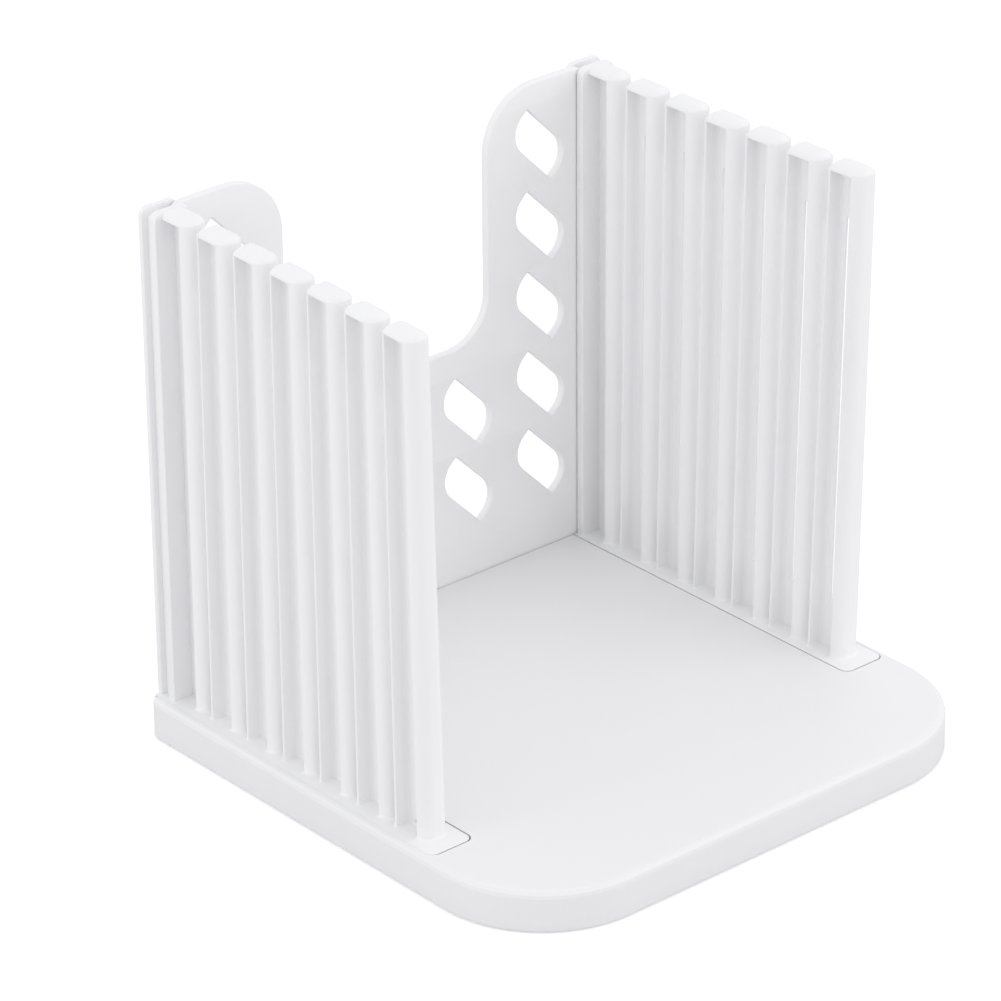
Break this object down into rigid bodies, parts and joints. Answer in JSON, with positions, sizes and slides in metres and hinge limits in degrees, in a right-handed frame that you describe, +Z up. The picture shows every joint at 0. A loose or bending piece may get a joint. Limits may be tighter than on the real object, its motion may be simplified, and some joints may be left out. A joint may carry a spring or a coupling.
{
  "type": "bread slicer guide",
  "caption": "White moulded bread slicing guide: a board, two upright slotted combs that guide the knife, and a rear plate with a U-shaped cut-out and leaf holes",
  "frame": {"origin": "On the table, below the middle of the board", "axes": "+X to the right seen from the front, +Y towards the rear plate, +Z up"},
  "size_m": [0.18, 0.1712, 0.168],
  "materials": {
    "board_plastic": "satin white moulded ABS",
    "comb_plastic": "satin white moulded ABS",
    "plate_plastic": "satin white moulded ABS",
    "pad_rubber": "matt grey rubber"
  },
  "bodies": {
    "board": {"base_board": "board_plastic", "pad_front_left": "pad_rubber", "pad_front_right": "pad_rubber", "pad_rear_left": "pad_rubber", "pad_rear_right": "pad_rubber"},
    "left_side": {"left_comb": "comb_plastic"},
    "right_side": {"right_comb": "comb_plastic"},
    "back": {"rear_plate": "plate_plastic"}
  },
  "joints": [
    {"name": "left_comb_lift", "type": "slide", "parent": "board", "child": "left_side", "axis": [0, 0, 1], "range_m": [0, 0.17]},
    {"name": "right_comb_lift", "type": "slide", "parent": "board", "child": "right_side", "axis": [0, 0, 1], "range_m": [0, 0.17]},
    {"name": "rear_plate_lift", "type": "slide", "parent": "board", "child": "back", "axis": [0, 0, 1], "range_m": [0, 0.17]}
  ]
}
